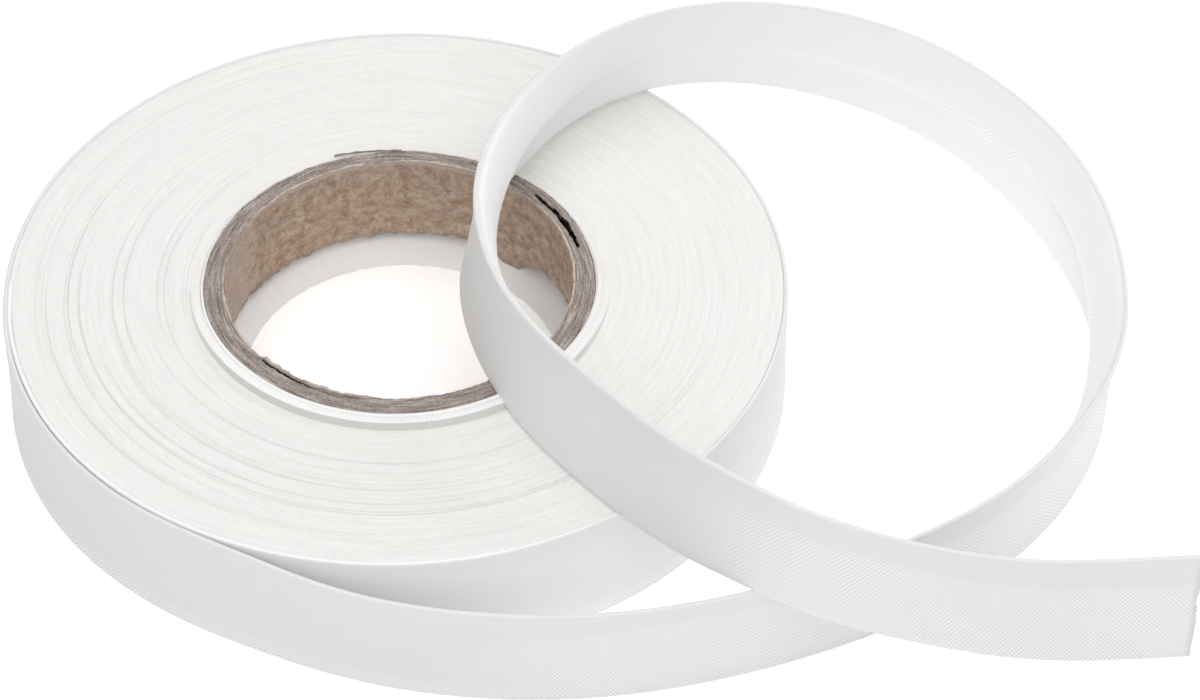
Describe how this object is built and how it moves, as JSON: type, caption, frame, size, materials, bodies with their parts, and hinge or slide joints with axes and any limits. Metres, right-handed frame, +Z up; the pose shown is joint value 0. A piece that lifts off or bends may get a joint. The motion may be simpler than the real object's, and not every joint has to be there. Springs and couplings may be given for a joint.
{
  "type": "roll of bias tape",
  "caption": "Roll of white cotton bias tape wound flat on a short paperboard core, its outer end pulled loose into an open loop that crosses the roll and ends in a cut edge.",
  "frame": {"origin": "on the table, under the middle of the bounding box", "axes": "+X to the cut end of the loose tape, along the longest side; +Y away from the viewer; +Z up along the roll's axis"},
  "size_m": [0.1412, 0.102, 0.0322],
  "materials": {
    "cotton_tape": "white plain weave cut on the bias, pressed folds, matt",
    "paperboard": "raw grey-brown spiral-wound paperboard, matt"
  },
  "bodies": {
    "root": {"core": "paperboard", "wound_roll": "cotton_tape", "loose_tape": "cotton_tape"}
  },
  "joints": []
}
